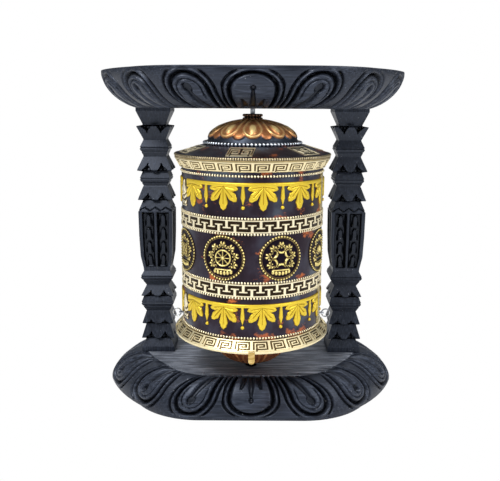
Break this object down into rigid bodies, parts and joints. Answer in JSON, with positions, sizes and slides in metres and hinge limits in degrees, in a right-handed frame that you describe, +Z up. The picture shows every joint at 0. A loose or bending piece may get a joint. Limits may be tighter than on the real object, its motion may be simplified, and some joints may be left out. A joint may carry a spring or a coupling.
{
  "type": "table prayer wheel",
  "caption": "Table prayer wheel: embossed metal drum with lotus lid that spins on a spindle between two carved posts and two lotus-edged boards.",
  "frame": {"origin": "middle of the base board's flat underside", "axes": "+X along the boards to the right, +Y to the back, +Z up along the spindle"},
  "size_m": [0.2202, 0.1674, 0.2375],
  "materials": {
    "dark_wood": "black-stained carved hardwood, waxed",
    "beech": "plain turned beech",
    "steel": "drawn steel",
    "dark_steel": "dark patinated steel",
    "aged_copper": "dark purple-brown patina on copper sheet",
    "copper": "raised copper, rubbed bright on the high spots",
    "pale_brass": "pressed white-gold brass",
    "aged_brass": "pressed brass with dark hollows",
    "gilt": "yellow gilt brass",
    "brass": "turned and drawn brass",
    "paper": "rolled plain paper",
    "thread": "cotton thread"
  },
  "bodies": {
    "stand": {"base_board": "dark_wood", "base_dowels": "beech", "base_screws": "steel", "left_post": "dark_wood", "pivot_cup": "brass", "right_post": "dark_wood", "top_board": "dark_wood", "top_bush": "brass", "top_dowels": "beech", "top_screws": "steel"},
    "wheel": {"cornice_beads": "pale_brass", "drum_floor": "aged_copper", "drum_shell": "aged_copper", "floor_collar": "aged_brass", "floor_dome": "copper", "front_tab": "pale_brass", "left_eye": "steel", "lid_collar": "aged_brass", "lid_cornice": "pale_brass", "lid_dome": "copper", "lid_flange": "dark_steel", "lid_patches": "pale_brass", "lid_rolled_edge": "pale_brass", "lid_seat_ring": "aged_copper", "lid_shoulder": "aged_copper", "lower_band_foot_beads": "pale_brass", "lower_band_top_beads": "pale_brass", "lower_dividers": "aged_brass", "lower_fret_band": "pale_brass", "lower_rim": "pale_brass", "lower_scrolls": "gilt", "medallion_1": "aged_brass", "medallion_2": "aged_brass", "medallion_3": "aged_brass", "medallion_4": "aged_brass", "medallion_5": "aged_brass", "medallion_6": "aged_brass", "medallion_7": "aged_brass", "medallion_8": "aged_brass", "prayer_roll": "paper", "right_eye": "steel", "rim_beads": "pale_brass", "roll_threads": "thread", "roll_washers": "brass", "seam_strips": "pale_brass", "spindle": "steel", "upper_band_foot_beads": "pale_brass", "upper_band_top_beads": "pale_brass", "upper_dividers": "aged_brass", "upper_fret_band": "pale_brass", "upper_scrolls": "gilt"},
    "left_ring": {"left_ring": "steel"},
    "right_ring": {"right_ring": "steel"}
  },
  "joints": [
    {"name": "wheel_spin", "type": "hinge", "parent": "stand", "child": "wheel", "pos_m": [0, -0.038, 0.118], "axis": [0, 0, 1], "continuous": true},
    {"name": "left_ring_swing", "type": "hinge", "parent": "wheel", "child": "left_ring", "pos_m": [-0.05073, -0.038, 0.0666], "axis": [0, 0, 1], "range_deg": [-60, 60]},
    {"name": "right_ring_swing", "type": "hinge", "parent": "wheel", "child": "right_ring", "pos_m": [0.05073, -0.038, 0.0666], "axis": [0, 0, 1], "range_deg": [-60, 60]}
  ]
}
